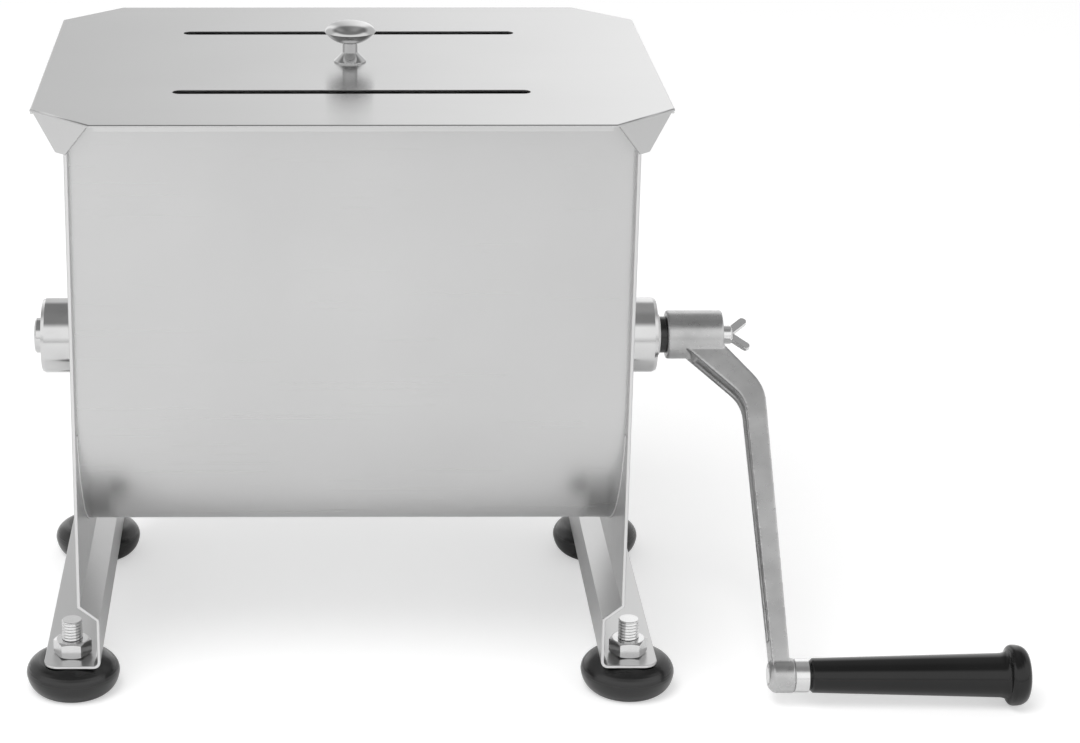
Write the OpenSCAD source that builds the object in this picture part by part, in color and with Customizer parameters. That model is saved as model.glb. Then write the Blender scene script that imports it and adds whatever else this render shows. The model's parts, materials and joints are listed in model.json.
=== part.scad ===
// Hand-cranked meat mixer: a U-shaped tub welded between two bent end plates that are also its legs,
// a paddle shaft in two bearing bosses, a dogleg crank with a turning grip, and a loose lid.
// Millimetres. +X points to the crank, +Y to the back, +Z up; the table is at z = 0.

/* [Tub] */
// Outside width across the two end plates
tub_w = 260; // [220:1:320]
// Front-to-back depth of an end plate
tub_depth = 194; // [175:1:230]
// Height of the tub's open top above the table
tub_top = 290; // [270:1:330]
// Thickness of the tub and leg sheet
sheet = 1.5; // [1:0.1:2.5]
// How far the trough's front and rear walls sit inside the end plates' edges
wall_recess = 7; // [4:0.5:12]
// Height of the paddle shaft's axis above the table
axis_h = 152; // [145:1:168]

/* [Legs] */
// Drop from the trough's lowest line to the start of the leg's inward step
jog_drop = 13; // [8:0.5:16]
// How far the leg steps inward
jog_in = 9; // [6:0.5:13]
// Height over which the leg steps inward
jog_rise = 7; // [4:0.5:9]
// Width of the foot flange, from the leg's outer face to its free edge
flange_w = 26; // [22:0.5:32]
// Corner radius of the foot flange
flange_corner_r = 7; // [3:0.5:9]
// Inside bend radius between leg and flange
bend_r = 2; // [1:0.25:3.5]

/* [Feet] */
// Height of a rubber foot
foot_h = 17; // [14:0.5:20]
// Largest diameter of a rubber foot
foot_d = 45; // [40:1:52]
// Diameter of a foot's base
foot_base_d = 34; // [30:1:38]
// Diameter of the flat top that the flange rests on
foot_top_d = 25; // [22:1:30]
// Height of a foot's widest line
foot_ring_h = 9; // [6:0.5:11]
// Distance from an end plate's front or rear edge to the foot bolt
foot_inset = 15.5; // [13:0.5:20]
// Thread diameter of a foot bolt
bolt_d = 10; // [8:1:11]
// Width across flats of the foot bolt's head and nut
hex_af = 16; // [14.5:0.5:17.5]
// Height of a foot bolt's head
bolt_head_h = 6.4; // [5:0.1:7.5]
// Height of a foot nut
nut_h = 7.5; // [6:0.1:9]
// Length of foot bolt that stands above its nut
bolt_stick = 10; // [5:0.5:13]

/* [Bearings and shaft] */
// Diameter of the paddle shaft
shaft_d = 14; // [12:0.5:17]
// Diameter of a bearing boss
boss_d = 37; // [32:0.5:45]
// Length of a bearing boss
boss_l = 21.5; // [16:0.5:28]
// Wall of a bearing bush
bush_wall = 3; // [2:0.25:4]
// Diameter of the bush's flange inside the tub
bush_flange_d = 28; // [26:0.5:34]
// Thickness of the bush's flange
bush_flange_t = 2; // [1.5:0.25:3]
// How far the crank-side bush stands out of its boss
bush_proud = 2; // [1:0.25:4]
// Diameter of the shaft's head at the far end
shaft_head_d = 17.4; // [17.2:0.1:19]
// Length of the shaft's head
shaft_head_l = 3.6; // [2.5:0.1:6]
// Diameter of the black ring beside the crank
ring_d = 18; // [17.4:0.1:20]
// Length of the black ring
ring_l = 3.2; // [2:0.1:5]

/* [Paddles] */
// Wall of the tube that carries the paddles
tube_wall = 5.5; // [4:0.25:7]
// Diameter of a paddle arm
arm_rod_d = 10; // [8:0.5:12]
// Width of a paddle blade
blade_w = 52; // [36:1:58]
// Thickness of a paddle blade
blade_t = 3; // [2:0.25:4]
// Distance from the axis to a blade's inner edge
blade_r0 = 38; // [30:1:46]
// Length of arm let into a blade
blade_lap = 14; // [8:1:20]
// Angle of a blade to the shaft
blade_pitch = 45; // [30:1:60]
// Gap between the turning blades and the trough
blade_gap = 4; // [2:0.5:8]
// Diameter of the pin that locks the tube to the shaft
lock_pin_d = 5; // [4:0.25:6]

/* [Crank] */
// Distance from the shaft's axis to the grip's axis
crank_r = 170; // [140:1:190]
// Distance along the shaft from the hub's inner end to the middle of the arm
crank_offset = 47.8; // [43:0.2:60]
// Diameter of the crank's hub
hub_d = 24; // [22:0.5:30]
// Length of the crank's hub
hub_l = 27.5; // [24:0.5:34]
// Thickness of the hub's outer end wall
hub_wall = 5; // [3:0.5:7]
// Distance from the axis to the elbow
elbow_drop = 31.5; // [26:0.5:38]
// How much nearer the tub the elbow is than the arm's lower end
arm_lean = 6; // [0:0.5:9]
// Width of the arm at the elbow
arm_w_top = 10; // [8:0.2:12]
// Width of the arm at its lower end
arm_w_low = 8.4; // [7:0.2:10]
// Depth of the arm at the hub
arm_depth_top = 16; // [13:0.5:18]
// Depth of the arm at its lower end
arm_depth_low = 13; // [11:0.5:15]
// Depth of the groove in each side of the arm
arm_groove = 1.2; // [0.6:0.1:1.8]
// Diameter of the boss at the arm's lower end
low_boss_d = 16.5; // [15.5:0.5:20]
// Length of the boss at the arm's lower end
low_boss_l = 10.5; // [10:0.5:16]
// Gap between the resting grip and the table
table_gap = 0.6; // [0.4:0.1:4]

/* [Grip] */
// Length of the grip
grip_l = 104; // [85:1:130]
// Diameter of the grip at the crank
grip_d_in = 16.5; // [15:0.5:20]
// Diameter of the grip before its end flange
grip_d_out = 21; // [20.5:0.5:24]
// Diameter of the grip's end flange
grip_flange_d = 29; // [26:0.5:33]
// Length of the grip's rounded end flange
grip_flange_l = 10.5; // [8:0.5:14]
// Diameter of the pin that the grip turns on
grip_pin_d = 8; // [6:0.5:9]
// Diameter of the grip pin's head
pin_head_d = 13; // [11:0.5:14]
// Thickness of the grip pin's head
pin_head_t = 3; // [2:0.25:4]
// Length of the plated collar between the crank and the grip
collar_l = 7.5; // [4:0.5:9]
// Diameter of the plated collar
collar_d = 16; // [14:0.5:19]

/* [Wing screw] */
// Thread diameter of the wing screw
wing_thread_d = 6; // [5:0.5:7]
// Length of thread below the wing screw's collar
wing_thread_l = 17; // [14:1:20]
// Diameter of the wing screw's collar
wing_collar_d = 9.5; // [8.5:0.25:11]
// Length of the wing screw's collar
wing_collar_l = 5; // [4:0.5:7]
// Reach of a wing along the shaft, from the collar's seat to the tip's centre
wing_reach = 11; // [9:0.5:14]
// Distance of a wing tip's centre from the axis
wing_spread = 8; // [6.5:0.5:9]
// Radius of a wing's tip
wing_tip_r = 2.1; // [2:0.1:3.2]
// Thickness of a wing
wing_t = 2.2; // [2:0.1:3.5]
// Angle of the wings about the shaft
wing_turn = 155; // [0:5:180]

/* [Lid] */
// Thickness of the lid sheet
lid_t = 1.2; // [0.8:0.1:2]
// Overhang of the lid at each side
lid_over_side = 15.4; // [12:0.2:20]
// Overhang of the lid at the front and rear
lid_over_front = 20.5; // [16:0.5:26]
// Gap between a corner flap and the tub's corner
flap_gap = 3.8; // [1:0.2:6]
// Height of a corner flap
flap_h = 17; // [10:0.5:24]
// Width of a corner flap's lower edge
flap_tip_w = 6.5; // [3:0.5:12]
// Height of the turned-down lip on the lid's straight edges
lip_h = 3; // [2:0.25:6]
// Length of a lid slot
slot_l = 165; // [120:1:185]
// Width of a lid slot
slot_w = 7; // [5:0.25:9]
// Distance from the lid's middle to a slot's middle
slot_y = 59; // [35:1:70]

/* [Knob] */
// Largest diameter of the knob
knob_d = 24.6; // [20:0.2:32]
// Height of the knob
knob_h = 19.6; // [18:0.2:26]
// Height of the knob's widest line
knob_edge_h = 14.8; // [13:0.1:16]
// Diameter of the knob's neck
knob_neck_d = 7.2; // [6.4:0.2:9]
// Diameter of the knob's foot
knob_foot_d = 15.6; // [12:0.2:20]
// Thread diameter of the screw that holds the knob
knob_screw_d = 4; // [3:0.5:4.5]

/* [Clearances] */
// Radial running clearance of a turning fit
run_fit = 0.05; // [0.02:0.01:0.1]
// Radial clearance of a fixed fit
seat_fit = 0.02; // [0:0.01:0.05]
// End float and seat gap between moving pieces
float_gap = 0.3; // [0.2:0.05:0.6]

/* [Hidden] */
$fn = 96;
// Overlength of a cutting tool past the face it cuts
over = 1;
// Steps in a rounded outline
arc_steps = 10;
small_chamfer = 0.8;
hex_corner_drop = 0.2 * hex_af;
steel = [0.78, 0.79, 0.80];
polished = [0.85, 0.86, 0.87];
plated = [0.72, 0.73, 0.74];
black = [0.05, 0.05, 0.05];
white_plastic = [0.90, 0.90, 0.88];

trough_r = tub_depth / 2 - wall_recess;
trough_in_r = trough_r - sheet;
plate_in_x = tub_w / 2 - sheet;
leg_x = tub_w / 2 - jog_in;
flange_top = foot_h + sheet;
jog_top = axis_h - trough_r - jog_drop;
jog_bottom = jog_top - jog_rise;
foot_x = leg_x + flange_w / 2;
foot_y = tub_depth / 2 - foot_inset;
// The corner that the curve of a foot's lower wall is drawn towards
foot_bulge = [0.97 * foot_d / 2, 0.3 * foot_ring_h];
bolt_head_z = 0.8;
bolt_pocket_h = bolt_head_z + bolt_head_h;
bolt_pocket_r = hex_af / sqrt(3) + 1;
bolt_top = flange_top + nut_h + bolt_stick;

boss_out_x = tub_w / 2 + boss_l;
bush_in_d = shaft_d + 2 * run_fit;
bush_d = bush_in_d + 2 * bush_wall;
boss_bore_d = bush_d + 2 * seat_fit;
bush_in_x = plate_in_x - bush_flange_t;
head_x = -(boss_out_x + float_gap);
hub_x = boss_out_x + bush_proud + float_gap + ring_l;
hub_end_x = hub_x + hub_l;
shaft_end_x = hub_end_x - hub_wall - float_gap;
hub_chamfer = small_chamfer / 2;
shaft_flat = 0.3 * shaft_d;

tube_in_d = shaft_d + 2 * seat_fit;
tube_d = tube_in_d + 2 * tube_wall;
tube_l = 2 * (bush_in_x - float_gap);
sweep_r = trough_in_r - blade_gap;
paddles = 4;
paddle_step = 2 * plate_in_x / paddles;
lock_pin_inset = 14;
lock_pin_x = bush_in_x - lock_pin_inset;
lock_pin_stick = 3;
lock_head_d = lock_pin_d + 4;
lock_head_t = 2.5;

arm_x = hub_x + crank_offset;
elbow_x = arm_x - arm_lean;
// Where the arm's inner and outer edges leave the hub, below the axis
root_in_drop = 0.38 * hub_d;
root_out_drop = 0.29 * hub_d;
// How far the elbow's corners are moved along the arm, and their radii
elbow_skew = 0.3 * arm_w_top;
elbow_in_r = 1.7 * arm_w_top;
elbow_out_r = 2.2 * arm_w_top;
// Width of metal left at each side of an arm groove
groove_border = 0.24 * arm_depth_low;
low_boss_x = arm_x - arm_w_low / 2;
collar_x = low_boss_x + low_boss_l;
grip_x = collar_x + collar_l + float_gap;
grip_end_x = grip_x + grip_l;
pin_head_inset = 1.5;
pin_head_x = grip_end_x - pin_head_t - pin_head_inset;
pin_recess_d = pin_head_d + 2;
pin_slot_w = 1.6;
pin_slot_depth = 1.2;
grip_round = 1.5 * small_chamfer;
grip_flange_x = grip_end_x - grip_flange_l;
grip_flange_mid_x = grip_flange_x + 0.32 * grip_flange_l;
grip_flare_x = grip_flange_x - 0.4 * grip_flange_l;
grip_flare = [(grip_d_out + grip_flange_d) / 4, grip_flange_x + 0.05 * grip_flange_l];
grip_end_r = pin_recess_d / 2 + small_chamfer;
// The crank rests with its grip just above the table, or hangs straight down if it is short enough.
crank_tilt = acos(min(1, (axis_h - grip_flange_d / 2 - table_gap) / crank_r));

wing_seat_x = hub_end_x + float_gap;
wing_root_r = 2.1;
wing_root_x = wing_collar_l / 2;

lid_z = tub_top + float_gap;
lid_top = lid_z + lid_t;
lid_half_w = tub_w / 2 + lid_over_side;
lid_half_d = tub_depth / 2 + lid_over_front;
// A flap's outer face lies this far inside the lid's chamfered corner
flap_set = 0.2;
lid_chamfer = lid_over_side + lid_over_front - (flap_gap + flap_set + lid_t) * sqrt(2);
lip_relief = 2;
flap_w = lid_chamfer * sqrt(2) - lip_relief;
knob_rim_h = 0.03 * knob_h;
knob_cone_top = 0.24 * knob_h;
knob_neck_top = 0.46 * knob_h;
// The corners that the curves of the knob's underside and dome are drawn towards
knob_under = [0.75 * knob_d / 2, 0.8 * knob_neck_top + 0.2 * knob_edge_h];
knob_dome = [0.86 * knob_d / 2, knob_h];
knob_screw_depth = 0.5 * knob_h;
knob_washer_d = 2.8 * knob_screw_d;
knob_washer_t = 1;
knob_head_d = 1.8 * knob_screw_d;
knob_head_h = 0.6 * knob_screw_d;
knob_head_z = -knob_washer_t - knob_head_h;

// The frame's origin lies on the table, under the middle of the whole length.
far_x = max(foot_x + foot_d / 2, -head_x + shaft_head_l, lid_half_w);
shift_x = (far_x - grip_end_x) / 2;

// Frames and shared shapes

module tub_frame() translate([shift_x, 0, 0]) children();

module rotor_frame() translate([shift_x, 0, axis_h]) rotate([-crank_tilt, 0, 0]) children();

module grip_frame() rotor_frame() translate([0, 0, -crank_r]) children();

module lid_frame() translate([shift_x, 0, lid_z]) children();

module sided(side) {
    if (side < 0) mirror([1, 0, 0]) children();
    else children();
}

// A solid of revolution about the X axis, from points given as [radius, x]
module turned_x(points) rotate([90, 0, 90]) rotate_extrude() polygon(points);

// A cylinder along X that starts at x
module rod_x(x, d, l) translate([x, 0, 0]) rotate([0, 90, 0]) cylinder(d = d, h = l);

function unit(v) = v / norm(v);

// The right-hand side of a direction
function beside(v) = unit([v[1], -v[0]]);

// A line of three points, moved square to its two stretches, to the left of the way it runs
function moved_in(line, d) =
    let (
        n = beside(line[1] - line[0]),
        m = beside(line[2] - line[1])
    )
    [line[0] - d * n, line[1] - d * (n + m) / (1 + n * m), line[2] - d * m];

// Points of a round of radius r at corner b of the path a, b, c
function rounded(a, b, c, r) =
    let (
        u = unit(a - b),
        v = unit(c - b),
        half = acos(u * v) / 2,
        centre = b + unit(u + v) * r / sin(half),
        first = b + u * r / tan(half) - centre,
        last = b + v * r / tan(half) - centre,
        start = atan2(first[1], first[0]),
        sweep = (atan2(last[1], last[0]) - start + 540) % 360 - 180
    )
    [for (i = [0:arc_steps]) centre + r * [cos(start + sweep * i / arc_steps),
                                           sin(start + sweep * i / arc_steps)]];

// Points of a quarter ellipse that leaves [r0, z0] along the axis and reaches [r1, z1] across it
function quarter(r0, z0, r1, z1) = [
    for (i = [0:arc_steps])
        let (a = 90 * i / arc_steps)
        [r1 + (r0 - r1) * cos(a), z0 + (z1 - z0) * sin(a)]
];

// Points of a smooth curve that leaves a towards c and reaches b from c
function bend(a, c, b) = [
    for (i = [0:arc_steps])
        let (t = i / arc_steps)
        (1 - t) * (1 - t) * a + 2 * t * (1 - t) * c + t * t * b
];

function tail(points) = [for (i = [1:len(points) - 1]) points[i]];

// Tub and legs

module trough_section(r) {
    circle(r);
    translate([-r, 0]) square([2 * r, tub_top - axis_h]);
}

module tub_trough() color(steel) tub_frame() translate([0, 0, axis_h]) rotate([90, 0, 90])
    linear_extrude(2 * plate_in_x, center = true) difference() {
        trough_section(trough_r);
        trough_section(trough_in_r);
        translate([-trough_in_r, tub_top - axis_h - over]) square([2 * trough_in_r, 2 * over]);
    }

// The bent sheet of an end plate, seen from the front: plate, inward step, leg, bend and foot flange
module plate_section() {
    x = tub_w / 2;
    mitre = sheet * (norm([jog_in, jog_rise]) - jog_rise) / jog_in;
    step_out = [leg_x, jog_bottom];
    step_in = [leg_x - sheet, jog_bottom + mitre];
    edge_top = [leg_x + flange_w, flange_top];
    edge_low = [leg_x + flange_w, foot_h];
    polygon(concat(
        [[x - sheet, tub_top], [x, tub_top], [x, jog_top], step_out],
        rounded(step_out, [leg_x, flange_top], edge_top, bend_r),
        [edge_top, edge_low],
        rounded(edge_low, [leg_x - sheet, foot_h], step_in, bend_r + sheet),
        [step_in, [x - sheet, jog_top + mitre]]
    ));
}

module flange_corner_cut() linear_extrude(sheet + 2 * over) difference() {
    square(flange_corner_r + over);
    circle(flange_corner_r);
}

module bolt_hole(h) translate([0, 0, -over]) cylinder(d = bolt_d + 2 * seat_fit, h = h + 2 * over);

module end_plate(side) color(steel) tub_frame() sided(side) difference() {
    rotate([90, 0, 0]) linear_extrude(tub_depth, center = true) plate_section();
    translate([0, 0, axis_h]) rod_x(plate_in_x - over, boss_bore_d, sheet + 2 * over);
    for (end = [0, 1]) mirror([0, end, 0]) {
        translate([foot_x, foot_y, foot_h]) bolt_hole(sheet);
        translate([leg_x + flange_w - flange_corner_r, tub_depth / 2 - flange_corner_r, foot_h - over])
            flange_corner_cut();
    }
}

module left_end_plate() end_plate(-1);

module right_end_plate() end_plate(1);

// Bearings

module bearing_boss(side) color(polished) tub_frame() sided(side) translate([0, 0, axis_h]) turned_x([
    [boss_bore_d / 2, tub_w / 2], [boss_d / 2, tub_w / 2],
    [boss_d / 2, boss_out_x - 2 * small_chamfer], [boss_d / 2 - small_chamfer, boss_out_x],
    [boss_bore_d / 2, boss_out_x]
]);

module left_bearing_boss() bearing_boss(-1);

module right_bearing_boss() bearing_boss(1);

module bush(side, proud) color(white_plastic) tub_frame() sided(side) translate([0, 0, axis_h]) turned_x([
    [bush_in_d / 2, bush_in_x], [bush_flange_d / 2, bush_in_x], [bush_flange_d / 2, plate_in_x],
    [bush_d / 2, plate_in_x], [bush_d / 2, boss_out_x + proud], [bush_in_d / 2, boss_out_x + proud]
]);

module left_bush() bush(-1, 0);

module right_bush() bush(1, bush_proud);

// Feet

module at_foot(side, end) tub_frame() translate([side * foot_x, end * foot_y, 0]) children();

module foot(side, end) color(black) at_foot(side, end) rotate_extrude() polygon(concat(
    [[bolt_pocket_r, 0]],
    bend([foot_base_d / 2, 0], foot_bulge, [foot_d / 2, foot_ring_h]),
    tail(quarter(foot_d / 2, foot_ring_h, foot_top_d / 2, foot_h)),
    [[bolt_d / 2 + seat_fit, foot_h], [bolt_d / 2 + seat_fit, bolt_pocket_h],
     [bolt_pocket_r, bolt_pocket_h]]
));

module foot_front_left() foot(-1, -1);

module foot_front_right() foot(1, -1);

module foot_rear_left() foot(-1, 1);

module foot_rear_right() foot(1, 1);

// Hexagon prism with chamfered corners at its upper end, and at its lower end too for a nut
module hexagon(h, nut = false) {
    flat_r = hex_af / 2 - small_chamfer / 2;
    drop = small_chamfer + hex_corner_drop;
    lower = nut ? [[flat_r, 0], [hex_af, drop]] : [[hex_af, 0]];
    intersection() {
        cylinder(d = hex_af / cos(30), h = h, $fn = 6);
        rotate_extrude() polygon(concat([[0, 0]], lower, [[hex_af, h - drop], [flat_r, h], [0, h]]));
    }
}

module foot_bolt() {
    translate([0, 0, bolt_pocket_h]) mirror([0, 0, 1]) hexagon(bolt_head_h);
    rotate_extrude() polygon([
        [0, bolt_pocket_h - over], [bolt_d / 2, bolt_pocket_h - over],
        [bolt_d / 2, bolt_top - small_chamfer], [bolt_d / 2 - small_chamfer, bolt_top], [0, bolt_top]
    ]);
}

module foot_bolts() color(plated) for (side = [-1, 1], end = [-1, 1]) at_foot(side, end) foot_bolt();

module foot_nuts() color(plated) for (side = [-1, 1], end = [-1, 1]) at_foot(side, end)
    translate([0, 0, flange_top]) difference() {
        hexagon(nut_h, nut = true);
        bolt_hole(nut_h);
    }

// Shaft and paddles, in the turning frame

module lock_pin_hole() translate([lock_pin_x, 0, -tube_d])
    cylinder(d = lock_pin_d + 2 * seat_fit, h = 2 * tube_d);

// The shaft's outside past the hub's inner end, with a flat on its upper side
module shaft_end_form(d, x0, x1) difference() {
    rod_x(x0, d, x1 - x0);
    translate([x0 - over, -d, d / 2 - shaft_flat / 2]) cube([x1 - x0 + 2 * over, 2 * d, d]);
}

module paddle_shaft() color(polished) rotor_frame() difference() {
    union() {
        turned_x([
            [0, head_x - shaft_head_l], [shaft_head_d / 2 - small_chamfer, head_x - shaft_head_l],
            [shaft_head_d / 2, head_x - shaft_head_l + small_chamfer], [shaft_head_d / 2, head_x],
            [shaft_d / 2, head_x], [shaft_d / 2, hub_x], [0, hub_x]
        ]);
        shaft_end_form(shaft_d, hub_x - over, shaft_end_x);
    }
    lock_pin_hole();
    rod_x(hub_end_x - wing_thread_l, wing_thread_d + 2 * run_fit, wing_thread_l);
}

module paddle_tube() color(polished) rotor_frame() difference() {
    rod_x(-tube_l / 2, tube_d, tube_l);
    rod_x(-tube_l / 2 - over, tube_in_d, tube_l + 2 * over);
    lock_pin_hole();
}

module lock_pin() color(plated) rotor_frame() translate([lock_pin_x, 0, 0]) rotate_extrude() polygon([
    [0, -tube_d / 2 - lock_pin_stick], [lock_pin_d / 2 - small_chamfer, -tube_d / 2 - lock_pin_stick],
    [lock_pin_d / 2, -tube_d / 2 - lock_pin_stick + small_chamfer], [lock_pin_d / 2, tube_d / 2],
    [lock_head_d / 2, tube_d / 2], [lock_head_d / 2, tube_d / 2 + lock_head_t - small_chamfer],
    [lock_head_d / 2 - small_chamfer, tube_d / 2 + lock_head_t], [0, tube_d / 2 + lock_head_t]
]);

// Paddles stand a quarter turn apart along the tube, and every other blade is pitched the other way
module at_paddle(i) rotor_frame() translate([(i - (paddles + 1) / 2) * paddle_step, 0, 0])
    rotate([90 * i, 0, 0]) children();

module blade_sheet(i) rotate([0, 0, i % 2 == 0 ? blade_pitch : -blade_pitch])
    translate([-blade_w / 2, -blade_t / 2, blade_r0]) cube([blade_w, blade_t, sweep_r]);

module paddle_blade(i) color(steel) at_paddle(i) intersection() {
    blade_sheet(i);
    rod_x(-blade_w, 2 * sweep_r, 2 * blade_w);
}

module paddle_arm(i) color(polished) at_paddle(i) difference() {
    cylinder(d = arm_rod_d, h = blade_r0 + blade_lap);
    rod_x(-arm_rod_d, tube_d, 2 * arm_rod_d);
    blade_sheet(i);
}

module paddle_arm_1() paddle_arm(1);

module paddle_arm_2() paddle_arm(2);

module paddle_arm_3() paddle_arm(3);

module paddle_arm_4() paddle_arm(4);

module paddle_blade_1() paddle_blade(1);

module paddle_blade_2() paddle_blade(2);

module paddle_blade_3() paddle_blade(3);

module paddle_blade_4() paddle_blade(4);

// Crank, in the turning frame with its arm pointing straight down

module shaft_ring() color(black) rotor_frame() difference() {
    rod_x(hub_x - ring_l, ring_d, ring_l);
    rod_x(hub_x - ring_l - over, shaft_d + 2 * seat_fit, ring_l + 2 * over);
}

// Outline of the arm seen along the direction it turns, or a line that lies inset inside it
module arm_outline(inset) {
    top_half = arm_w_top / 2;
    low_half = arm_w_low / 2;
    inner = moved_in([
        [hub_x + hub_l / 3, -root_in_drop], [elbow_x - top_half, -elbow_drop - elbow_skew],
        [arm_x - low_half, -crank_r]
    ], inset);
    outer = moved_in([
        [arm_x + low_half, -crank_r], [elbow_x + top_half, -elbow_drop + elbow_skew],
        [hub_end_x, -root_out_drop]
    ], inset);
    polygon(concat(
        [inner[0]], rounded(inner[0], inner[1], inner[2], elbow_in_r + inset), [inner[2], outer[0]],
        rounded(outer[0], outer[1], outer[2], elbow_out_r - inset), [outer[2]]
    ));
}

// Outline of the arm seen along the shaft, from the hub down to the lower boss
module arm_taper(inset) polygon([
    [-arm_depth_top / 2 + inset, 0], [arm_depth_top / 2 - inset, 0],
    [arm_depth_low / 2 - inset, -crank_r], [-arm_depth_low / 2 + inset, -crank_r]
]);

// The grooves in the arm's sides start below the hub and stop above the lower boss
module arm_grooves() {
    top = -hub_d / 2 - arm_groove;
    bottom = -crank_r + low_boss_d;
    intersection() {
        rotate([90, 0, 0]) linear_extrude(2 * arm_depth_top, center = true) difference() {
            arm_outline(-over);
            arm_outline(arm_groove);
        }
        rotate([90, 0, 90]) linear_extrude(2 * (arm_x + arm_w_top)) intersection() {
            arm_taper(groove_border);
            translate([-arm_depth_top, bottom]) square([2 * arm_depth_top, top - bottom]);
        }
    }
}

module crank_arm() color(plated) rotor_frame() difference() {
    union() {
        turned_x([
            [0, hub_x], [hub_d / 2 - hub_chamfer, hub_x], [hub_d / 2, hub_x + hub_chamfer],
            [hub_d / 2, hub_end_x - hub_chamfer], [hub_d / 2 - hub_chamfer, hub_end_x], [0, hub_end_x]
        ]);
        intersection() {
            rotate([90, 0, 0]) linear_extrude(2 * arm_depth_top, center = true) arm_outline(0);
            rotate([90, 0, 90]) linear_extrude(2 * (arm_x + arm_w_top)) arm_taper(0);
        }
        translate([0, 0, -crank_r]) turned_x([
            [0, low_boss_x - 2 * small_chamfer],
            [low_boss_d / 2 - 3 * small_chamfer, low_boss_x - 2 * small_chamfer],
            [low_boss_d / 2, low_boss_x + small_chamfer], [low_boss_d / 2, collar_x - small_chamfer / 2],
            [low_boss_d / 2 - small_chamfer / 2, collar_x], [0, collar_x]
        ]);
    }
    arm_grooves();
    shaft_end_form(shaft_d + 2 * seat_fit, hub_x - over, hub_end_x - hub_wall);
    rod_x(hub_x, wing_thread_d + 2 * float_gap, hub_l + over);
    translate([0, 0, -crank_r])
        rod_x(low_boss_x - low_boss_l, grip_pin_d + 2 * seat_fit, 3 * low_boss_l);
}

module grip_pin() color(plated) grip_frame() difference() {
    turned_x([
        [0, low_boss_x - 2 * small_chamfer], [grip_pin_d / 2, low_boss_x - 2 * small_chamfer],
        [grip_pin_d / 2, pin_head_x], [pin_head_d / 2, pin_head_x],
        [pin_head_d / 2, pin_head_x + pin_head_t - small_chamfer],
        [pin_head_d / 2 - small_chamfer, pin_head_x + pin_head_t], [0, pin_head_x + pin_head_t]
    ]);
    translate([pin_head_x + pin_head_t - pin_slot_depth, -pin_slot_w / 2, -pin_head_d])
        cube([pin_slot_depth + over, pin_slot_w, 2 * pin_head_d]);
}

module grip_collar() color(plated) grip_frame() turned_x([
    [grip_pin_d / 2 + seat_fit, collar_x], [collar_d / 2 - small_chamfer / 2, collar_x],
    [collar_d / 2, collar_x + small_chamfer / 2], [collar_d / 2, collar_x + collar_l - small_chamfer],
    [collar_d / 2 - small_chamfer, collar_x + collar_l], [grip_pin_d / 2 + seat_fit, collar_x + collar_l]
]);

// A tapered handle with a rounded flange at its free end and a recess for the pin's head
module grip() color(black) grip_frame() turned_x(let (
    bore = grip_pin_d / 2 + run_fit,
    recess_x = pin_head_x - float_gap
) concat(
    [[bore, grip_x], [grip_d_in / 2 - grip_round, grip_x], [grip_d_in / 2, grip_x + grip_round]],
    bend([grip_d_out / 2, grip_flare_x], [grip_d_out / 2, grip_flange_x], grip_flare),
    tail(bend(grip_flare, [grip_flange_d / 2, 2 * grip_flare[1] - grip_flange_x],
              [grip_flange_d / 2, grip_flange_mid_x])),
    tail(bend([grip_flange_d / 2, grip_flange_mid_x], [grip_flange_d / 2, grip_end_x],
              [grip_end_r, grip_end_x])),
    [[pin_recess_d / 2, grip_end_x], [pin_recess_d / 2, recess_x], [bore, recess_x]]
));

module wing_outline(up) {
    tip = [wing_reach, up * wing_spread];
    root = [wing_root_x, 0];
    along = unit(tip - root);
    across = [-along[1], along[0]];
    translate([wing_seat_x, 0]) {
        translate(tip) circle(wing_tip_r);
        polygon([root + across * wing_root_r, tip + across * wing_tip_r, tip - across * wing_tip_r,
                 root - across * wing_root_r]);
    }
}

module wing_screw() color(plated) rotor_frame() rotate([wing_turn, 0, 0]) {
    turned_x([
        [0, hub_end_x - wing_thread_l + float_gap],
        [wing_thread_d / 2, hub_end_x - wing_thread_l + float_gap],
        [wing_thread_d / 2, wing_seat_x], [wing_collar_d / 2, wing_seat_x],
        [wing_collar_d / 2, wing_seat_x + wing_collar_l - small_chamfer],
        [wing_collar_d / 2 - small_chamfer, wing_seat_x + wing_collar_l], [0, wing_seat_x + wing_collar_l]
    ]);
    for (up = [-1, 1]) rotate([90, 0, 0]) linear_extrude(wing_t, center = true) wing_outline(up);
}

// Lid, in a frame with z = 0 on its underside

module lid_outline() {
    w = lid_half_w;
    d = lid_half_d;
    c = lid_chamfer;
    polygon([
        [w, d - c], [w - c, d], [c - w, d], [-w, d - c],
        [-w, c - d], [c - w, -d], [w - c, -d], [w, c - d]
    ]);
}

module lid_slot() {
    straight = slot_l - slot_w;
    square([straight, slot_w], center = true);
    for (end = [-1, 1]) translate([end * straight / 2, 0]) circle(d = slot_w);
}

// A tapered flap that hangs from a chamfered corner
module corner_flap(sx, sy) {
    middle = [sx * (lid_half_w - lid_chamfer / 2), sy * (lid_half_d - lid_chamfer / 2), 0];
    translate(middle) rotate([0, 0, atan2(sy, sx) - 90]) translate([0, -flap_set, 0]) rotate([90, 0, 0])
        linear_extrude(lid_t) polygon([
            [-flap_w / 2, lid_t / 2], [flap_w / 2, lid_t / 2],
            [flap_tip_w / 2, lid_t - flap_h], [-flap_tip_w / 2, lid_t - flap_h]
        ]);
}

module edge_lips() {
    long = lid_half_w - lid_chamfer - lip_relief;
    short = lid_half_d - lid_chamfer - lip_relief;
    for (turn = [0, 1]) {
        mirror([0, turn, 0]) translate([-long, lid_half_d - lid_t, lid_t - lip_h])
            cube([2 * long, lid_t, lip_h]);
        mirror([turn, 0, 0]) translate([lid_half_w - lid_t, -short, lid_t - lip_h])
            cube([lid_t, 2 * short, lip_h]);
    }
}

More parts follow.
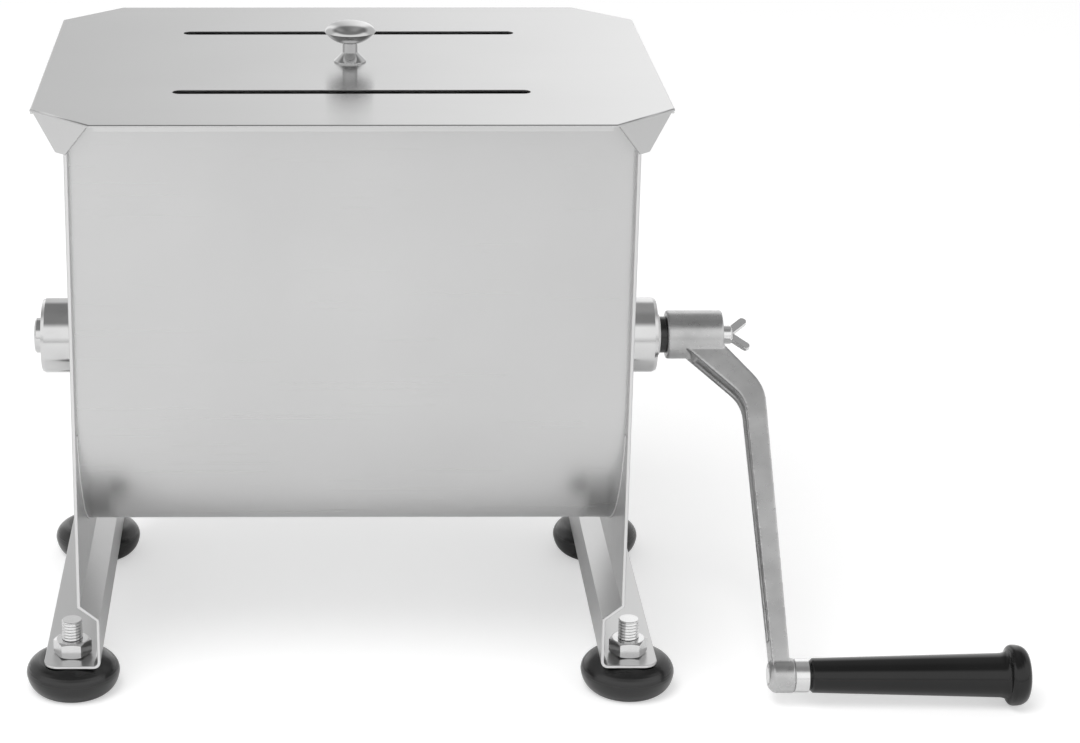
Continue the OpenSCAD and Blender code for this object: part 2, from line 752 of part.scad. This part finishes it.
module lid_plate() color(steel) lid_frame() union() {
    linear_extrude(lid_t) difference() {
        lid_outline();
        for (side = [-1, 1]) translate([0, side * slot_y]) lid_slot();
        circle(d = knob_screw_d + 2 * seat_fit);
    }
    for (sx = [-1, 1], sy = [-1, 1]) corner_flap(sx, sy);
    edge_lips();
}

module lid_knob() color(polished) lid_frame() translate([0, 0, lid_t]) rotate_extrude() polygon(let (
    hole_r = knob_screw_d / 2 + seat_fit
) concat(
    [[hole_r, 0], [knob_foot_d / 2, 0], [knob_foot_d / 2, knob_rim_h], [knob_neck_d / 2, knob_cone_top]],
    bend([knob_neck_d / 2, knob_neck_top], knob_under, [knob_d / 2, knob_edge_h]),
    tail(bend([knob_d / 2, knob_edge_h], knob_dome, [0, knob_h])),
    [[0, knob_screw_depth], [hole_r, knob_screw_depth]]
));

module knob_washer() color(plated) lid_frame() translate([0, 0, -knob_washer_t]) difference() {
    cylinder(d = knob_washer_d, h = knob_washer_t);
    translate([0, 0, -over]) cylinder(d = knob_screw_d + 2 * seat_fit, h = knob_washer_t + 2 * over);
}

module knob_screw() color(plated) lid_frame() difference() {
    rotate_extrude() polygon([
        [0, knob_head_z], [knob_head_d / 2 - small_chamfer, knob_head_z],
        [knob_head_d / 2, knob_head_z + small_chamfer], [knob_head_d / 2, -knob_washer_t],
        [knob_screw_d / 2, -knob_washer_t], [knob_screw_d / 2, lid_t + knob_screw_depth - float_gap],
        [0, lid_t + knob_screw_depth - float_gap]
    ]);
    translate([-knob_head_d, -pin_slot_w / 2, knob_head_z - over])
        cube([2 * knob_head_d, pin_slot_w, pin_slot_depth + over]);
}

tub_trough();
left_end_plate();
right_end_plate();
left_bearing_boss();
right_bearing_boss();
left_bush();
right_bush();
foot_front_left();
foot_front_right();
foot_rear_left();
foot_rear_right();
foot_bolts();
foot_nuts();
paddle_shaft();
paddle_tube();
lock_pin();
paddle_arm_1();
paddle_arm_2();
paddle_arm_3();
paddle_arm_4();
paddle_blade_1();
paddle_blade_2();
paddle_blade_3();
paddle_blade_4();
shaft_ring();
crank_arm();
grip_pin();
grip_collar();
grip();
wing_screw();
lid_plate();
lid_knob();
knob_washer();
knob_screw();
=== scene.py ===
"""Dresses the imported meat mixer: finishes, softened edges, small details, studio and camera.

Metres. +X points to the crank, +Y to the back, +Z up, and the table is at z = 0.
"""
import json
import math

import bmesh
import bpy
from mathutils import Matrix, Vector


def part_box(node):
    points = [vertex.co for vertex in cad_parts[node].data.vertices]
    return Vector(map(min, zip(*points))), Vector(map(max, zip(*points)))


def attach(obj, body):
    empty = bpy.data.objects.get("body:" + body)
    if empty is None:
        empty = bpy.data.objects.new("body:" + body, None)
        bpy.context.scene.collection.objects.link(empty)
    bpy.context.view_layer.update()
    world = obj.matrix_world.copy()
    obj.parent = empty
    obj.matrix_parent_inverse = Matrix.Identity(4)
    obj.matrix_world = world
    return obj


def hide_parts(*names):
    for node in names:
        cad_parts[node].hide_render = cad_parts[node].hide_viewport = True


MM = 0.001

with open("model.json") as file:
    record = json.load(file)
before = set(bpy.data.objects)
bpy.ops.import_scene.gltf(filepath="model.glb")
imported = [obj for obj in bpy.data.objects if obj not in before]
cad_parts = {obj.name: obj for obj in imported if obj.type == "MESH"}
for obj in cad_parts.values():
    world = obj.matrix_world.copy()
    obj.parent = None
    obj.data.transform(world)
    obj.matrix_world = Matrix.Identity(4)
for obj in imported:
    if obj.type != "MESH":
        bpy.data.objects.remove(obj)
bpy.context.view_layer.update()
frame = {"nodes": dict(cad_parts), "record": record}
nodes = frame["nodes"]
slots = {part["node"]: part["material_slot"] for part in frame["record"]["subparts"]}
bodies = {
    node: body
    for body, members in frame["record"]["behaviour"]["bodies"].items()
    for node in members
}


def node_middle(node):
    low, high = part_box(node)
    return (low + high) / 2


# Height of the shaft
axis_z = node_middle("left_bearing_boss").z
trough_low, trough_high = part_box("tub_trough")


# Finishes

# The values between which most of a noise lies
NOISE_LOW, NOISE_HIGH = 0.3, 0.7


def grey(value):
    return (value, value, value, 1)


class Finish:
    """A node material round one Principled shader, in the frame's own coordinates."""

    def __init__(self, name, **sockets):
        self.material = bpy.data.materials.new(name)
        self.material.use_nodes = True
        self.tree = self.material.node_tree
        self.shader = self.tree.nodes["Principled BSDF"]
        for socket, value in sockets.items():
            self.shader.inputs[socket.replace("_", " ")].default_value = value
        self.place = self.node("ShaderNodeTexCoord").outputs["Object"]

    def node(self, kind, **settings):
        made = self.tree.nodes.new(kind)
        for key, value in settings.items():
            setattr(made, key, value)
        return made

    def link(self, source, target):
        self.tree.links.new(source, target)

    def stretched(self, x, y, z):
        """The frame's coordinates, scaled along each axis."""
        mapping = self.node("ShaderNodeMapping")
        mapping.inputs["Scale"].default_value = (x, y, z)
        self.link(self.place, mapping.inputs["Vector"])
        return mapping.outputs["Vector"]

    def around_x(self, height):
        """Coordinates (place along X, distance from the line at that height, 0) for turned pieces."""
        shifted = self.node("ShaderNodeVectorMath", operation="SUBTRACT")
        shifted.inputs[1].default_value = (0, 0, height)
        self.link(self.place, shifted.inputs[0])
        flat = self.node("ShaderNodeVectorMath", operation="MULTIPLY")
        flat.inputs[1].default_value = (0, 1, 1)
        self.link(shifted.outputs["Vector"], flat.inputs[0])
        radius = self.node("ShaderNodeVectorMath", operation="LENGTH")
        self.link(flat.outputs["Vector"], radius.inputs[0])
        along = self.node("ShaderNodeSeparateXYZ")
        self.link(self.place, along.inputs[0])
        joined = self.node("ShaderNodeCombineXYZ")
        self.link(along.outputs["X"], joined.inputs["X"])
        self.link(radius.outputs["Value"], joined.inputs["Y"])
        return joined.outputs["Vector"]

    def noise(self, vector, scale=1.0, detail=3.0):
        texture = self.node("ShaderNodeTexNoise")
        texture.inputs["Scale"].default_value = scale
        texture.inputs["Detail"].default_value = detail
        self.link(vector, texture.inputs["Vector"])
        return texture.outputs["Fac"]

    def tint(self, factor, low, high):
        """Greys from low to high over most of a noise."""
        ramp = self.node("ShaderNodeValToRGB")
        for end, place, value in zip(ramp.color_ramp.elements, (NOISE_LOW, NOISE_HIGH), (low, high)):
            end.position = place
            end.color = grey(value)
        self.link(factor, ramp.inputs["Fac"])
        self.link(ramp.outputs["Color"], self.shader.inputs["Base Color"])

    def rough(self, factor, low, high):
        """Roughness from low to high over most of a noise."""
        ranged = self.node("ShaderNodeMapRange")
        ranged.inputs["From Min"].default_value = NOISE_LOW
        ranged.inputs["From Max"].default_value = NOISE_HIGH
        ranged.inputs["To Min"].default_value = low
        ranged.inputs["To Max"].default_value = high
        self.link(factor, ranged.inputs["Value"])
        self.link(ranged.outputs["Result"], self.shader.inputs["Roughness"])

    def bump(self, *layers):
        """Adds bumps, each given as (height, strength, depth)."""
        normal = None
        for height, strength, depth in layers:
            bumped = self.node("ShaderNodeBump")
            bumped.inputs["Strength"].default_value = strength
            bumped.inputs["Distance"].default_value = depth
            self.link(height, bumped.inputs["Height"])
            if normal:
                self.link(normal, bumped.inputs["Normal"])
            normal = bumped.outputs["Normal"]
        self.link(normal, self.shader.inputs["Normal"])


# Brushed sheet: noise scales along and across the brushing and of its waves, bumps as (strength, depth)
BRUSH_ALONG, BRUSH_ACROSS = 7, 1100
ALONG_X = (BRUSH_ALONG, BRUSH_ACROSS, BRUSH_ACROSS)
ALONG_Z = (BRUSH_ACROSS, BRUSH_ACROSS, BRUSH_ALONG)
SHEET_WAVES = 9
BRUSH_BUMP = (0.008, 0.03 * MM)
SHEET_BUMP = (0.04, 0.5 * MM)
# Turns from the tangent to the direction of the blur
BLUR_TURN = 0.25


def satin(name, greys, rough, brushed=ALONG_X, blur=0.0):
    """Sheet steel, finely brushed one way and slightly uneven.

    On sheet that is brushed along X, blur spreads the reflections across the brushing.
    """
    finish = Finish(name, Metallic=1.0, Anisotropic=blur, Anisotropic_Rotation=BLUR_TURN)
    streaks = finish.noise(finish.stretched(*brushed), detail=4)
    waves = finish.noise(finish.place, scale=SHEET_WAVES, detail=2)
    finish.tint(waves, *greys)
    finish.rough(streaks, *rough)
    finish.bump((streaks, *BRUSH_BUMP), (waves, *SHEET_BUMP))
    if blur:
        along = finish.node("ShaderNodeCombineXYZ")
        along.inputs["X"].default_value = 1.0
        finish.link(along.outputs["Vector"], finish.shader.inputs["Tangent"])
    return finish.material


# Turned steel: noise scales of its rings and of its patches
RING_SCALE = 2600
TURNED_PATCHES = 60
RING_BUMP = (0.12, 0.03 * MM)


def turned(name, greys, rough):
    """Lathe-turned steel with fine rings about the shaft."""
    finish = Finish(name, Metallic=1.0)
    rings = finish.noise(finish.around_x(axis_z), scale=RING_SCALE, detail=2)
    patches = finish.noise(finish.place, scale=TURNED_PATCHES)
    finish.tint(patches, *greys)
    finish.rough(rings, *rough)
    finish.bump((rings, *RING_BUMP))
    return finish.material


# Plated metal: noise scale and strength of its waves
PLATED_WAVES = 55
WAVE_STRENGTH = 0.25
GRAIN_BUMP = (0.08, 0.05 * MM)


def plated(name, greys, rough, grain, wave_depth):
    """Plated metal: soft waves of the polished metal below, and a grain of the given noise scale."""
    finish = Finish(name, Metallic=1.0)
    waves = finish.noise(finish.place, scale=PLATED_WAVES, detail=2)
    fine = finish.noise(finish.place, scale=grain, detail=3)
    finish.tint(waves, *greys)
    finish.rough(fine, *rough)
    finish.bump((waves, WAVE_STRENGTH, wave_depth), (fine, *GRAIN_BUMP))
    return finish.material


# Moulded skin: noise scale of its patches, depth of its grain
MOULDED_PATCHES = 40
SKIN_DEPTH = 0.08 * MM


def moulded(name, greys, rough, grain, strength, gloss=0.5):
    """Plastic or rubber with a moulded skin; grain is a noise scale, strength that of its bump."""
    finish = Finish(name, Specular_IOR_Level=gloss)
    patches = finish.noise(finish.place, scale=MOULDED_PATCHES)
    fine = finish.noise(finish.place, scale=grain, detail=4)
    finish.tint(patches, *greys)
    finish.rough(patches, *rough)
    finish.bump((fine, strength, SKIN_DEPTH))
    return finish.material


# Each with its darkest and lightest grey, and its lowest and highest roughness
FINISHES = {
    "satin_steel": satin("satin_steel", (0.555, 0.595), (0.26, 0.275), blur=0.85),
    "blade_steel": satin("blade_steel", (0.52, 0.58), (0.28, 0.36)),
    "turned_steel": turned("turned_steel", (0.59, 0.65), (0.1, 0.16)),
    "chrome": plated("chrome", (0.53, 0.57), (0.03, 0.06), grain=400, wave_depth=0.05 * MM),
    "tinned_iron": plated("tinned_iron", (0.43, 0.55), (0.26, 0.36), grain=500, wave_depth=0.6 * MM),
    "zinc_steel": plated("zinc_steel", (0.66, 0.74), (0.16, 0.24), grain=900, wave_depth=0.2 * MM),
    "black_plastic": moulded(
        "black_plastic", (0.004, 0.006), (0.1, 0.14), grain=900, strength=0.03, gloss=0.4
    ),
    "black_rubber": moulded(
        "black_rubber", (0.004, 0.007), (0.2, 0.26), grain=1200, strength=0.08, gloss=0.6
    ),
    "white_acetal": moulded("white_acetal", (0.74, 0.8), (0.35, 0.42), grain=900, strength=0.06),
}
# The end plates' sheet is brushed up and down and rougher, which is its real finish; its darker grey is
# painted shade for the shadowed floor it mirrors.
LEG_SHEET_WITH_PAINTED_SHADE = satin("leg_sheet_with_painted_shade", (0.52, 0.56), (0.28, 0.33), ALONG_Z)
# Sheared edges below the shaft are brushed up and down; their lighter grey is a painted highlight.
CUT_EDGE_PAINTED_HIGHLIGHT = satin("cut_edge_painted_highlight", (0.64, 0.68), (0.28, 0.34), ALONG_Z)
LID_SHEET = satin("lid_sheet", (0.57, 0.6), (0.18, 0.2), blur=0.7)

for node_name, slot_name in slots.items():
    nodes[node_name].data.materials.clear()
    nodes[node_name].data.materials.append(FINISHES[slot_name])


# Pieces that stand for CAD nodes, softened where the real ones are

# Distance below which vertices are one
WELD_DIST = 0.005 * MM
# Distances within which a vertex counts as on the top face, and on another plane
ON_TOP = 0.01 * MM
ON_PLANE = 0.05 * MM
# Angle from which an edge is sharp, and up to which neighbouring faces are one flat face
SHARP_ANGLE = math.radians(40)
FLAT_ANGLE = math.radians(1)
EASE_R, EASE_STEPS = 0.3 * MM, 2
LID_BEND_R, BEND_STEPS = 0.9 * MM, 4
# Bevel profile of a round edge
ROUND = 0.5
# How strongly large faces lead the shading, in the weighted normal modifier's own unit
FACE_WEIGHT = 60
# Share of the way that a vertex moves towards its neighbours in one round of smoothing
SMOOTHING = 0.5
# How squarely a sheared edge faces the front or the back
SHEARED_FACING = 0.95
# Places, among an end plate's finishes, of those for its sheared edges below the shaft, whose lighter
# grey is a painted highlight, and above it
SHEARED_LOW, SHEARED_HIGH = 1, 2


def settle(name, mesh, node):
    """Puts a new mesh in the node's place, on its body, in its finish unless the mesh has one."""
    piece = bpy.data.objects.new(name, mesh)
    bpy.context.scene.collection.objects.link(piece)
    if not mesh.materials:
        mesh.materials.append(FINISHES[slots[node]])
    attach(piece, bodies[node])
    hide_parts(node)
    return piece


def welded_copy(node):
    """The node's solid as a joined mesh."""
    bm = bmesh.new()
    bm.from_mesh(nodes[node].data)
    bmesh.ops.remove_doubles(bm, verts=bm.verts, dist=WELD_DIST)
    return bm


def to_mesh(bm, name):
    """Turns the working mesh into a smooth mesh, and frees it."""
    mesh = bpy.data.meshes.new(name)
    for face in bm.faces:
        face.smooth = True
    bm.to_mesh(mesh)
    bm.free()
    return mesh


def ease(bm, edges, radius, steps):
    """Rounds edges."""
    bmesh.ops.bevel(
        bm,
        geom=edges,
        offset=radius,
        segments=steps,
        profile=ROUND,
        affect="EDGES",
        clamp_overlap=True,
    )
    bm.normal_update()


def in_weld(edge):
    """Whether an edge lies in the weld between the trough and an end plate, where nothing is eased."""
    return any(
        all(abs(vert.co.x - x) < ON_PLANE for vert in edge.verts)
        for x in (trough_low.x, trough_high.x)
    )


def sharp_edges(bm):
    """The sharp edges, apart from those in a weld."""
    return [
        edge
        for edge in bm.edges
        if edge.is_manifold and edge.calc_face_angle() > SHARP_ANGLE and not in_weld(edge)
    ]


def upper_outline(bm):
    """The edges round the top face, apart from those of its holes."""
    top = max(vert.co.z for vert in bm.verts)
    found = []
    for edge in sharp_edges(bm):
        if any(top - vert.co.z > ON_TOP for vert in edge.verts):
            continue
        side = min((face.normal for face in edge.link_faces), key=lambda normal: normal.z)
        reach = max(vert.co.dot(side) for vert in bm.verts)
        if reach - edge.verts[0].co.dot(side) < ON_PLANE:
            found.append(edge)
    return found


def mark_sheared_edges(bm):
    """Gives the edges of an end plate that face the front or the back their own finishes: below the
    shaft a lighter grey, which is a painted highlight.
    """
    for face in bm.faces:
        if abs(face.normal.y) > SHEARED_FACING:
            below = face.calc_center_median().z < axis_z
            face.material_index = SHEARED_LOW if below else SHEARED_HIGH


def shade_evenly(piece, keep_sharp=False):
    """Lets large faces lead the shading of the eased edges beside them."""
    normals = piece.modifiers.new("even_shading", "WEIGHTED_NORMAL")
    normals.weight = FACE_WEIGHT
    normals.keep_sharp = keep_sharp


def sheet_piece(node, finishes, bend_r=0.0):
    """A sheet-metal node with its upper outline bent by bend_r and its other edges eased.

    An end plate has a finish for its flat, darkened as painted shade, and two more for its sheared
    edges, the lower ones lightened as a painted highlight.
    """
    bm = welded_copy(node)
    bmesh.ops.dissolve_limit(bm, angle_limit=FLAT_ANGLE, verts=bm.verts, edges=bm.edges)
    bm.normal_update()
    if bend_r:
        ease(bm, upper_outline(bm), bend_r, BEND_STEPS)
    ease(bm, sharp_edges(bm), EASE_R, EASE_STEPS)
    for edge in bm.edges:
        edge.smooth = not in_weld(edge)
    if len(finishes) > 1:
        mark_sheared_edges(bm)
    mesh = to_mesh(bm, node + ".sheet")
    for finish in finishes:
        mesh.materials.append(finish)
    shade_evenly(settle(node + ".sheet", mesh, node), keep_sharp=True)


def turned_piece(node):
    """A turned node with its sharp edges eased."""
    bm = welded_copy(node)
    bm.normal_update()
    ease(bm, sharp_edges(bm), EASE_R, EASE_STEPS)
    shade_evenly(settle(node + ".turned", to_mesh(bm, node + ".turned"), node))


def cast_piece(node, voxel, rounds):
    """A casting: the node's solid with every edge and inner corner rounded."""
    piece = settle(node + ".cast", to_mesh(welded_copy(node), node + ".cast"), node)
    remesh = piece.modifiers.new("skin", "REMESH")
    remesh.mode = "VOXEL"
    remesh.voxel_size = voxel
    remesh.use_smooth_shade = True
    smooth = piece.modifiers.new("rounding", "SMOOTH")
    smooth.factor = SMOOTHING
    smooth.iterations = rounds


for side in ("left", "right"):
    sheet_piece(side + "_end_plate", [LEG_SHEET_WITH_PAINTED_SHADE, CUT_EDGE_PAINTED_HIGHLIGHT, FINISHES["satin_steel"]])
sheet_piece("tub_trough", [FINISHES["satin_steel"]])
sheet_piece("lid_plate", [LID_SHEET], bend_r=LID_BEND_R)
turned_piece("lid_knob")
cast_piece("crank_arm", voxel=0.45 * MM, rounds=9)
cast_piece("wing_screw", voxel=0.25 * MM, rounds=5)


# Foot bolts with shallow threads

BOLT_HEAD_H = 6.4 * MM
BOLT_HEAD_FLAT = 16 * MM
BOLT_HEAD_CORNERS = 6
BOLT_R = 5 * MM
THREAD_PITCH = 1.5 * MM
THREAD_DEPTH = 0.45 * MM
THREAD_COLUMNS = 40
ROWS_PER_TURN = 8
# Area that a thread's face stays below and a head's face is above
SMALL_FACE = 1 * MM * MM


def thread_radius(turns):
    """Radius of the thread at a place that many turns along it."""
    return BOLT_R - THREAD_DEPTH * abs(2 * (turns % 1.0) - 1)


def add_ring(bm, centre, z, radii):
    """Vertices evenly round the centre, one at each radius."""
    ring = []
    for index, radius in enumerate(radii):
        angle = 2 * math.pi * index / len(radii)
        x = centre.x + radius * math.cos(angle)
        y = centre.y + radius * math.sin(angle)
        ring.append(bm.verts.new((x, y, z)))
    return ring


def add_skin(bm, rings):
    """Faces from each ring to the next one above, and across both ends."""
    for lower, upper in zip(rings, rings[1:]):
        for i in range(len(lower)):
            j = (i + 1) % len(lower)
            bm.faces.new((lower[i], lower[j], upper[j], upper[i]))
    bm.faces.new(reversed(rings[0]))
    bm.faces.new(rings[-1])


def add_threaded_bolt(bm, centre, low, high):
    """A hexagon head below, and a threaded shank with a chamfered end above."""
    head_r = BOLT_HEAD_FLAT / 2 / math.cos(math.pi / BOLT_HEAD_CORNERS)
    shank_low = low + BOLT_HEAD_H
    head_radii = [head_r] * BOLT_HEAD_CORNERS
    add_skin(bm, [add_ring(bm, centre, z, head_radii) for z in (low, shank_low)])
    rows = int((high - shank_low) / THREAD_PITCH * ROWS_PER_TURN)
    shank = []
    for row in range(rows + 1):
        z = shank_low + (high - shank_low) * row / rows
        chamfer_r = BOLT_R - THREAD_DEPTH + (high - z)
        turns = [(z - low) / THREAD_PITCH - i / THREAD_COLUMNS for i in range(THREAD_COLUMNS)]
        shank.append(add_ring(bm, centre, z, [min(thread_radius(turn), chamfer_r) for turn in turns]))
    add_skin(bm, shank)


bolts = bmesh.new()
bolt_low, bolt_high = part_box("foot_bolts")
for foot in ("foot_front_left", "foot_front_right", "foot_rear_left", "foot_rear_right"):
    add_threaded_bolt(bolts, node_middle(foot), bolt_low.z, bolt_high.z)
bolt_mesh = to_mesh(bolts, "foot_bolts.threaded")
for face in bolt_mesh.polygons:
    face.use_smooth = len(face.vertices) == 4 and face.area < SMALL_FACE
settle("foot_bolts.threaded", bolt_mesh, "foot_bolts")


# Weld beads where the trough's underside meets the end plates

BEAD_R = 0.6 * MM
BEAD_ROUNDNESS = 3
BEAD_ARC_STEPS = 48
# Angle from the trough's widest line to where a bead starts
BEAD_START = math.radians(12)


def weld_bead(name, x, radius):
    """A bead round the trough's underside."""
    curve = bpy.data.curves.new(name, "CURVE")
    curve.dimensions = "3D"
    curve.bevel_depth = BEAD_R
    curve.bevel_resolution = BEAD_ROUNDNESS
    curve.use_fill_caps = True
    spline = curve.splines.new("POLY")
    spline.points.add(BEAD_ARC_STEPS)
    for step, point in enumerate(spline.points):
        angle = math.pi + BEAD_START + (math.pi - 2 * BEAD_START) * step / BEAD_ARC_STEPS
        point.co = (x, radius * math.cos(angle), axis_z + radius * math.sin(angle), 1)
    curve.materials.append(FINISHES["satin_steel"])
    bead = bpy.data.objects.new(name, curve)
    bpy.context.scene.collection.objects.link(bead)
    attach(bead, bodies["tub_trough"])


for side, x in (("left", trough_low.x), ("right", trough_high.x)):
    weld_bead("weld_bead_" + side, x, trough_high.y)


# Studio

FLOOR_HALF = 6.0
# Brightness of the paper as a light source, and then as the camera and the polished steel see it
FLOOR_COLOUR = 0.8
SEEN_COLOUR, SEEN_GLOW = 0.66, 0.46
MIRRORED_COLOUR = 1.0
# Rays that see the floor and the backdrop as the picture shows them
SEEN_RAYS = ("Is Camera Ray", "Is Transmission Ray")
# Brightness of the room by the sine of the height above the horizon, at the front and at the rear:
# white walls, lower at the rear, under a darker ceiling
FRONT_WALL = ((0.0, 0.68), (0.2, 1.0), (0.66, 1.0), (0.82, 0.25))
REAR_WALL = ((0.0, 1.0), (0.57, 1.0), (0.75, 0.34), (1.0, 0.34))
FRONT, REAR = 1.19, 1.4
# Shares of the rear wall's brightness from the left (0) over the middle (0.5) to the right (1):
# two bright panels
REAR_ACROSS = ((0.2, 0.58), (0.31, 0.95), (0.43, 0.54), (0.6, 0.95), (0.72, 0.55))
# Half the width, as a sine, of the blend from the front of the room to its rear
ROOM_BLEND = 0.2
LAMP_PLACE = Vector((-0.6, -1.0, 2.1))
LAMP_SIZE = 1.4
LAMP_POWER = 26


def joined_rays(tree, names):
    """1 for a ray of any of these kinds."""
    path = tree.nodes.new("ShaderNodeLightPath")
    found = path.outputs[names[0]]
    for name in names[1:]:
        either = tree.nodes.new("ShaderNodeMath")
        either.operation = "MAXIMUM"
        tree.links.new(found, either.inputs[0])
        tree.links.new(path.outputs[name], either.inputs[1])
        found = either.outputs[0]
    return found


def mixed(tree, factor, first, second):
    mix = tree.nodes.new("ShaderNodeMixShader")
    tree.links.new(factor, mix.inputs[0])
    tree.links.new(first, mix.inputs[1])
    tree.links.new(second, mix.inputs[2])
    return mix.outputs[0]


def diffuse(tree, value):
    shader = tree.nodes.new("ShaderNodeBsdfDiffuse")
    shader.inputs["Color"].default_value = grey(value)
    return shader.outputs[0]


def glowing(tree, value, strength):
    glow = tree.nodes.new("ShaderNodeEmission")
    glow.inputs["Strength"].default_value = strength
    both = tree.nodes.new("ShaderNodeAddShader")
    tree.links.new(diffuse(tree, value), both.inputs[0])
    tree.links.new(glow.outputs[0], both.inputs[1])
    return both.outputs[0]


def make_floor():
    """Pale paper that lights the object softly, looks white and keeps the shadow."""
    corners = [(-1, -1), (1, -1), (1, 1), (-1, 1)]
    mesh = bpy.data.meshes.new("floor")
    mesh.from_pydata([(FLOOR_HALF * x, FLOOR_HALF * y, 0) for x, y in corners], [], [(0, 1, 2, 3)])
    paper = bpy.data.materials.new("floor_paper")
    paper.use_nodes = True
    tree = paper.node_tree
    tree.nodes.clear()
    surface = diffuse(tree, FLOOR_COLOUR)
    mirrored = diffuse(tree, MIRRORED_COLOUR)
    surface = mixed(tree, joined_rays(tree, ("Is Glossy Ray",)), surface, mirrored)
    seen = glowing(tree, SEEN_COLOUR, SEEN_GLOW)
    surface = mixed(tree, joined_rays(tree, SEEN_RAYS), surface, seen)
    output = tree.nodes.new("ShaderNodeOutputMaterial")
    tree.links.new(surface, output.inputs["Surface"])
    mesh.materials.append(paper)
    floor = bpy.data.objects.new("floor", mesh)
    bpy.context.scene.collection.objects.link(floor)


def share(tree, value, low, high, blend):
    """How far a value lies on the way from low (0) to high (1)."""
    node = tree.nodes.new("ShaderNodeMapRange")
    node.interpolation_type = blend
    node.inputs["From Min"].default_value = low
    node.inputs["From Max"].default_value = high
    tree.links.new(value, node.inputs["Value"])
    return node.outputs["Result"]


def wall(tree, place_on_wall, stops, blend):
    """Greys along a wall, given as (place, brightness)."""
    ramp = tree.nodes.new("ShaderNodeValToRGB")
    ramp.color_ramp.interpolation = blend
    made = ramp.color_ramp.elements
    for index, (place, value) in enumerate(stops):
        stop = made[index] if index < len(made) else made.new(place)
        stop.position = place
        stop.color = grey(value)
    tree.links.new(place_on_wall, ramp.inputs["Fac"])
    return ramp.outputs["Color"]


def product(tree, first, second):
    times = tree.nodes.new("ShaderNodeVectorMath")
    times.operation = "MULTIPLY"
    tree.links.new(first, times.inputs[0])
    tree.links.new(second, times.inputs[1])
    return times.outputs["Vector"]


def background(tree, colour, strength):
    shader = tree.nodes.new("ShaderNodeBackground")
    tree.links.new(colour, shader.inputs["Color"])
    shader.inputs["Strength"].default_value = strength
    return shader.outputs[0]


def make_world():
    """A room that the steel mirrors, behind a white backdrop that only the camera sees."""
    world = bpy.data.worlds.new("studio")
    world.use_nodes = True
    bpy.context.scene.world = world
    tree = world.node_tree
    tree.nodes.clear()
    direction = tree.nodes.new("ShaderNodeTexCoord")
    split = tree.nodes.new("ShaderNodeSeparateXYZ")
    tree.links.new(direction.outputs["Generated"], split.inputs[0])
    across = share(tree, split.outputs["X"], -1, 1, "LINEAR")
    rearward = share(tree, split.outputs["Y"], -ROOM_BLEND, ROOM_BLEND, "SMOOTHSTEP")
    front_wall = wall(tree, split.outputs["Z"], FRONT_WALL, "LINEAR")
    rear_wall = wall(tree, split.outputs["Z"], REAR_WALL, "LINEAR")
    panels = wall(tree, across, REAR_ACROSS, "EASE")
    front = background(tree, front_wall, FRONT)
    rear = background(tree, product(tree, rear_wall, panels), REAR)
    room = mixed(tree, rearward, front, rear)
    white = tree.nodes.new("ShaderNodeBackground")
    white.inputs["Color"].default_value = grey(1)
    output = tree.nodes.new("ShaderNodeOutputWorld")
    picture = mixed(tree, joined_rays(tree, SEEN_RAYS), room, white.outputs[0])
    tree.links.new(picture, output.inputs["Surface"])


def make_softbox():
    """A lamp at the front left for the soft shadow, which the steel doesn't mirror."""
    data = bpy.data.lights.new("side_softbox", "AREA")
    data.shape = "DISK"
    data.size = LAMP_SIZE
    data.energy = LAMP_POWER
    lamp = bpy.data.objects.new("side_softbox", data)
    lamp.location = LAMP_PLACE
    lamp.rotation_euler = (-LAMP_PLACE).to_track_quat("-Z", "Y").to_euler()
    lamp.visible_glossy = False
    bpy.context.scene.collection.objects.link(lamp)


make_floor()
make_world()
make_softbox()


# Camera at the photograph's viewing angle

IMAGE_W = 1080
FOCAL_PX = 2774
SENSOR_W = 36
SHIFT_X, SHIFT_Y = 0.2, -0.1
CAMERA_PLACE = (-0.1002, -1.298, 0.611)
# Degrees below the horizon, and to the right of straight to the back
CAMERA_DOWN = 18.0
CAMERA_RIGHT = 0.2

camera_data = bpy.data.cameras.new("camera")
camera_data.sensor_width = SENSOR_W
camera_data.lens = FOCAL_PX / IMAGE_W * SENSOR_W
camera_data.shift_x = SHIFT_X
camera_data.shift_y = SHIFT_Y
camera = bpy.data.objects.new("camera", camera_data)
camera.location = CAMERA_PLACE
camera.rotation_euler = (math.radians(90 - CAMERA_DOWN), 0, math.radians(-CAMERA_RIGHT))
bpy.context.scene.collection.objects.link(camera)
bpy.context.scene.camera = camera
bpy.context.scene.view_settings.view_transform = "Standard"
